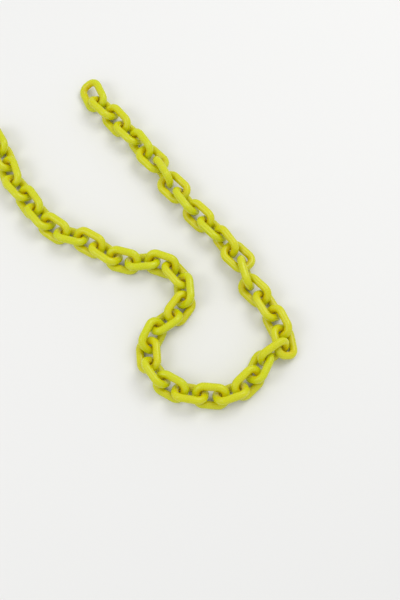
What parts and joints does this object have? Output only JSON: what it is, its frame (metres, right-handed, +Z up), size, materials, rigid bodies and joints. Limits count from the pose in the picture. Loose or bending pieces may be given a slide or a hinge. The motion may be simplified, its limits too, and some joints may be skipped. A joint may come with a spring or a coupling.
{
  "type": "plastic barrier chain",
  "caption": "Loose length of short-link plastic barrier chain for crowd and traffic barriers, lying in a hooked curve, each link its own moving piece.",
  "frame": {"origin": "middle of the chain's footprint, on the surface it lies on", "axes": "+Z up from the surface, +Y away from the front bend towards the two free ends, +X to the right"},
  "size_m": [0.2508, 0.2652, 0.0198],
  "materials": {
    "yellow_plastic": "moulded lemon-yellow polyethylene, satin gloss"
  },
  "bodies": {
    "link_01": {"link_01": "yellow_plastic"},
    "link_02": {"link_02": "yellow_plastic"},
    "link_03": {"link_03": "yellow_plastic"},
    "link_04": {"link_04": "yellow_plastic"},
    "link_05": {"link_05": "yellow_plastic"},
    "link_06": {"link_06": "yellow_plastic"},
    "link_07": {"link_07": "yellow_plastic"},
    "link_08": {"link_08": "yellow_plastic"},
    "link_09": {"link_09": "yellow_plastic"},
    "link_10": {"link_10": "yellow_plastic"},
    "link_11": {"link_11": "yellow_plastic"},
    "link_12": {"link_12": "yellow_plastic"},
    "link_13": {"link_13": "yellow_plastic"},
    "link_14": {"link_14": "yellow_plastic"},
    "link_15": {"link_15": "yellow_plastic"},
    "link_16": {"link_16": "yellow_plastic"},
    "link_17": {"link_17": "yellow_plastic"},
    "link_18": {"link_18": "yellow_plastic"},
    "link_19": {"link_19": "yellow_plastic"},
    "link_20": {"link_20": "yellow_plastic"},
    "link_21": {"link_21": "yellow_plastic"},
    "link_22": {"link_22": "yellow_plastic"},
    "link_23": {"link_23": "yellow_plastic"},
    "link_24": {"link_24": "yellow_plastic"},
    "link_25": {"link_25": "yellow_plastic"},
    "link_26": {"link_26": "yellow_plastic"},
    "link_27": {"link_27": "yellow_plastic"},
    "link_28": {"link_28": "yellow_plastic"},
    "link_29": {"link_29": "yellow_plastic"},
    "link_30": {"link_30": "yellow_plastic"},
    "link_31": {"link_31": "yellow_plastic"},
    "link_32": {"link_32": "yellow_plastic"},
    "link_33": {"link_33": "yellow_plastic"},
    "link_34": {"link_34": "yellow_plastic"},
    "link_35": {"link_35": "yellow_plastic"},
    "link_36": {"link_36": "yellow_plastic"},
    "link_37": {"link_37": "yellow_plastic"},
    "link_38": {"link_38": "yellow_plastic"},
    "link_39": {"link_39": "yellow_plastic"},
    "link_40": {"link_40": "yellow_plastic"},
    "link_41": {"link_41": "yellow_plastic"},
    "link_42": {"link_42": "yellow_plastic"},
    "link_43": {"link_43": "yellow_plastic"},
    "link_44": {"link_44": "yellow_plastic"},
    "link_45": {"link_45": "yellow_plastic"},
    "link_46": {"link_46": "yellow_plastic"}
  },
  "joints": [
    {"name": "link_01_swing", "type": "hinge", "parent": "link_02", "child": "link_01", "pos_m": [-0.02713, 0.11481, 0.00785], "axis": [0.5, 0.5, -0.7071], "range_deg": [-70, 6]},
    {"name": "link_02_swing", "type": "hinge", "parent": "link_03", "child": "link_02", "pos_m": [-0.01643, 0.10452, 0.0074], "axis": [0.5868, 0.4924, 0.6428], "range_deg": [-60, 55]},
    {"name": "link_03_swing", "type": "hinge", "parent": "link_04", "child": "link_03", "pos_m": [-0.00707, 0.09296, 0.0074], "axis": [-0.5417, -0.5417, 0.6428], "range_deg": [-55, 60]},
    {"name": "link_04_swing", "type": "hinge", "parent": "link_05", "child": "link_04", "pos_m": [0.00376, 0.08262, 0.00896], "axis": [-0.4096, -0.2868, -0.866], "range_deg": [-50, 12]},
    {"name": "link_05_swing", "type": "hinge", "parent": "link_06", "child": "link_05", "pos_m": [0.01154, 0.06987, 0.00883], "axis": [0.683, 0.683, -0.2588], "range_deg": [-32, 30]},
    {"name": "link_06_swing", "type": "hinge", "parent": "link_07", "child": "link_06", "pos_m": [0.02206, 0.05936, 0.0099], "axis": [0, 0, 1], "range_deg": [-8, 45]},
    {"name": "link_07_swing", "type": "hinge", "parent": "link_08", "child": "link_07", "pos_m": [0.02822, 0.04551, 0.00883], "axis": [-0.683, -0.683, -0.2588], "range_deg": [-24, 55]},
    {"name": "link_08_swing", "type": "hinge", "parent": "link_09", "child": "link_08", "pos_m": [0.03882, 0.03512, 0.00896], "axis": [-0.4096, -0.2868, 0.866], "range_deg": [-18, 41]},
    {"name": "link_09_swing", "type": "hinge", "parent": "link_10", "child": "link_09", "pos_m": [0.04684, 0.02242, 0.0074], "axis": [0.5417, 0.5417, 0.6428], "range_deg": [-50, 24]},
    {"name": "link_10_swing", "type": "hinge", "parent": "link_11", "child": "link_10", "pos_m": [0.05736, 0.01191, 0.00785], "axis": [0.5, 0.5, -0.7071], "range_deg": [-60, 60]},
    {"name": "link_11_swing", "type": "hinge", "parent": "link_12", "child": "link_11", "pos_m": [0.06816, 0.00157, 0.00924], "axis": [-0.3462, -0.2424, -0.9063], "range_deg": [-50, 4]},
    {"name": "link_12_swing", "type": "hinge", "parent": "link_13", "child": "link_12", "pos_m": [0.07587, -0.01123, 0.00885], "axis": [-0.7044, -0.7044, 0.0872], "range_deg": [-20, 17]},
    {"name": "link_13_swing", "type": "hinge", "parent": "link_14", "child": "link_13", "pos_m": [0.08621, -0.02168, 0.00966], "axis": [-0.25, -0.067, 0.9659], "range_deg": [-4, 30]},
    {"name": "link_14_swing", "type": "hinge", "parent": "link_15", "child": "link_14", "pos_m": [0.08787, -0.03741, 0.0074], "axis": [0.5417, 0.5417, 0.6428], "range_deg": [-35, 7]},
    {"name": "link_15_swing", "type": "hinge", "parent": "link_16", "child": "link_15", "pos_m": [0.09895, -0.04734, 0.0074], "axis": [-0.6634, -0.383, 0.6428], "range_deg": [-36, 50]},
    {"name": "link_16_swing", "type": "hinge", "parent": "link_17", "child": "link_16", "pos_m": [0.10661, -0.06008, 0.0074], "axis": [-0.6943, -0.3237, -0.6428], "range_deg": [-55, 60]},
    {"name": "link_17_swing", "type": "hinge", "parent": "link_18", "child": "link_17", "pos_m": [0.11381, -0.0733, 0.0064], "axis": [0.8529, 0.1504, -0.5], "range_deg": [-6, 36]},
    {"name": "link_18_swing", "type": "hinge", "parent": "link_19", "child": "link_18", "pos_m": [0.1162, -0.08608, 0.00966], "axis": [0.1485, -0.212, -0.9659], "range_deg": [-16, 6]},
    {"name": "link_19_swing", "type": "hinge", "parent": "link_20", "child": "link_19", "pos_m": [0.10199, -0.09302, 0.0074], "axis": [-0.6943, 0.3237, -0.6428], "range_deg": [-7, 35]},
    {"name": "link_20_swing", "type": "hinge", "parent": "link_21", "child": "link_20", "pos_m": [0.0967, -0.10692, 0.0074], "axis": [-0.5417, 0.5417, 0.6428], "range_deg": [-20, 24]},
    {"name": "link_21_swing", "type": "hinge", "parent": "link_22", "child": "link_21", "pos_m": [0.08701, -0.11835, 0.00785], "axis": [0.2418, -0.6645, 0.7071], "range_deg": [-75, 22]},
    {"name": "link_22_swing", "type": "hinge", "parent": "link_23", "child": "link_22", "pos_m": [0.07343, -0.12484, 0.0074], "axis": [-0.0668, -0.7631, -0.6428], "range_deg": [-27, 75]},
    {"name": "link_24_swing", "type": "hinge", "parent": "link_23", "child": "link_24", "pos_m": [0.05251, -0.12301, 0.0074], "axis": [0.0668, 0.7631, 0.6428], "range_deg": [-29, 60]},
    {"name": "link_25_swing", "type": "hinge", "parent": "link_24", "child": "link_25", "pos_m": [0.03791, -0.12016, 0.0074], "axis": [-0.133, -0.7544, 0.6428], "range_deg": [-35, 20]},
    {"name": "link_26_swing", "type": "hinge", "parent": "link_25", "child": "link_26", "pos_m": [0.02561, -0.1118, 0.0074], "axis": [-0.383, -0.6634, -0.6428], "range_deg": [-50, 40]},
    {"name": "link_27_swing", "type": "hinge", "parent": "link_26", "child": "link_27", "pos_m": [0.01822, -0.0984, 0.00863], "axis": [0.4698, 0.329, -0.8192], "range_deg": [-76, 11]},
    {"name": "link_28_swing", "type": "hinge", "parent": "link_27", "child": "link_28", "pos_m": [0.01773, -0.08307, 0.0064], "axis": [0.8627, 0.0755, 0.5], "range_deg": [-12, 75]},
    {"name": "link_29_swing", "type": "hinge", "parent": "link_28", "child": "link_29", "pos_m": [0.026, -0.06999, 0.00785], "axis": [-0.6409, 0.2988, 0.7071], "range_deg": [-26, 80]},
    {"name": "link_30_swing", "type": "hinge", "parent": "link_29", "child": "link_30", "pos_m": [0.03907, -0.06263, 0.0074], "axis": [-0.4394, 0.6275, -0.6428], "range_deg": [-28, 27]},
    {"name": "link_31_swing", "type": "hinge", "parent": "link_30", "child": "link_31", "pos_m": [0.04682, -0.04986, 0.00692], "axis": [0.671, -0.4698, -0.5736], "range_deg": [-29, 52]},
    {"name": "link_32_swing", "type": "hinge", "parent": "link_31", "child": "link_32", "pos_m": [0.04289, -0.03459, 0.00826], "axis": [0.6403, 0.056, 0.766], "range_deg": [-74, 17]},
    {"name": "link_33_swing", "type": "hinge", "parent": "link_32", "child": "link_33", "pos_m": [0.03205, -0.02404, 0.0074], "axis": [-0.5868, -0.4924, 0.6428], "range_deg": [-80, 22]},
    {"name": "link_34_swing", "type": "hinge", "parent": "link_33", "child": "link_34", "pos_m": [0.01734, -0.02055, 0.00785], "axis": [-0.2418, -0.6645, -0.7071], "range_deg": [-40, 75]},
    {"name": "link_35_swing", "type": "hinge", "parent": "link_34", "child": "link_35", "pos_m": [0.00258, -0.02307, 0.0074], "axis": [-0.0668, 0.7631, -0.6428], "range_deg": [-20, 45]},
    {"name": "link_36_swing", "type": "hinge", "parent": "link_35", "child": "link_36", "pos_m": [-0.01147, -0.01818, 0.0074], "axis": [0.1983, 0.7399, 0.6428], "range_deg": [-45, 20]},
    {"name": "link_37_swing", "type": "hinge", "parent": "link_36", "child": "link_37", "pos_m": [-0.023, -0.00878, 0.0074], "axis": [-0.4394, -0.6275, 0.6428], "range_deg": [-60, 55]},
    {"name": "link_38_swing", "type": "hinge", "parent": "link_37", "child": "link_38", "pos_m": [-0.03601, -0.00158, 0.0074], "axis": [-0.383, -0.6634, -0.6428], "range_deg": [-50, 36]},
    {"name": "link_39_swing", "type": "hinge", "parent": "link_38", "child": "link_39", "pos_m": [-0.05056, 0.00148, 0.0074], "axis": [0.1983, 0.7399, -0.6428], "range_deg": [-20, 45]},
    {"name": "link_40_swing", "type": "hinge", "parent": "link_39", "child": "link_40", "pos_m": [-0.06209, 0.01088, 0.0074], "axis": [0.4394, 0.6275, 0.6428], "range_deg": [-50, 37]},
    {"name": "link_41_swing", "type": "hinge", "parent": "link_40", "child": "link_41", "pos_m": [-0.07102, 0.02278, 0.0074], "axis": [-0.5868, -0.4924, 0.6428], "range_deg": [-55, 60]},
    {"name": "link_42_swing", "type": "hinge", "parent": "link_41", "child": "link_42", "pos_m": [-0.07933, 0.03511, 0.0074], "axis": [-0.6275, -0.4394, -0.6428], "range_deg": [-55, 60]},
    {"name": "link_43_swing", "type": "hinge", "parent": "link_42", "child": "link_43", "pos_m": [-0.08909, 0.04632, 0.0074], "axis": [0.5868, 0.4924, -0.6428], "range_deg": [-20, 45]},
    {"name": "link_44_swing", "type": "hinge", "parent": "link_43", "child": "link_44", "pos_m": [-0.09314, 0.06064, 0.0074], "axis": [0.7198, 0.262, 0.6428], "range_deg": [-60, 55]},
    {"name": "link_45_swing", "type": "hinge", "parent": "link_44", "child": "link_45", "pos_m": [-0.09967, 0.074, 0.0074], "axis": [-0.6943, -0.3237, 0.6428], "range_deg": [-60, 55]},
    {"name": "link_46_swing", "type": "hinge", "parent": "link_45", "child": "link_46", "pos_m": [-0.10736, 0.08675, 0.00785], "axis": [-0.6124, -0.3536, -0.7071], "range_deg": [-14, 85]}
  ]
}
